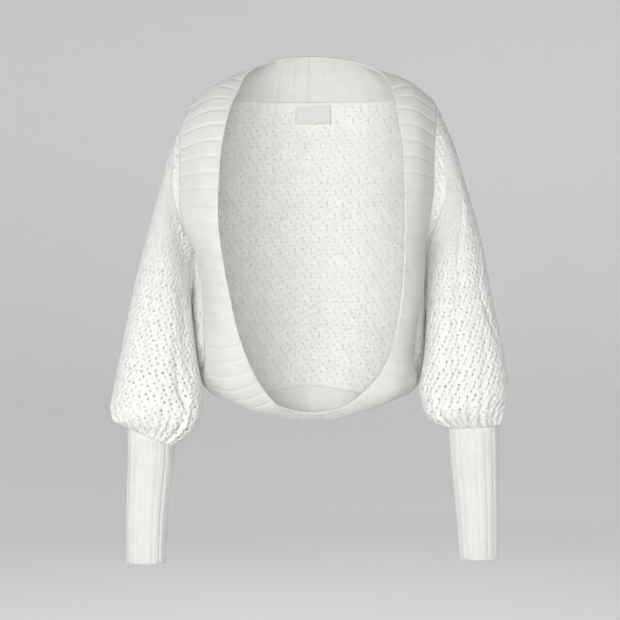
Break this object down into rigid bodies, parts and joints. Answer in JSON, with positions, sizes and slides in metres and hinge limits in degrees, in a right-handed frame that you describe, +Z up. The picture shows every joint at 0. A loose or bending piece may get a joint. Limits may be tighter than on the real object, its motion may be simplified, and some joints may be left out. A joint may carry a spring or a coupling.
{
  "type": "bolero",
  "caption": "Cream lace-knit bolero with a wide ribbed band round the whole opening, balloon sleeves and long ribbed cuffs, in its worn shape.",
  "frame": {"origin": "midway between the shoulders, on their top, where a wearer or a hanger holds it", "axes": "+Z up, -Y out of the open front, +X towards the wearer's left"},
  "size_m": [0.5502, 0.1996, 0.7109],
  "materials": {
    "lace": "soft matt lace knit in cream yarn",
    "rib": "soft matt rib knit in cream yarn",
    "label": "smooth woven satin, blank"
  },
  "bodies": {
    "root": {"band": "rib", "back": "lace", "front_right": "lace", "front_left": "lace", "sleeve_right": "lace", "sleeve_left": "lace", "cuff_right": "rib", "cuff_left": "rib", "label": "label"}
  },
  "joints": []
}
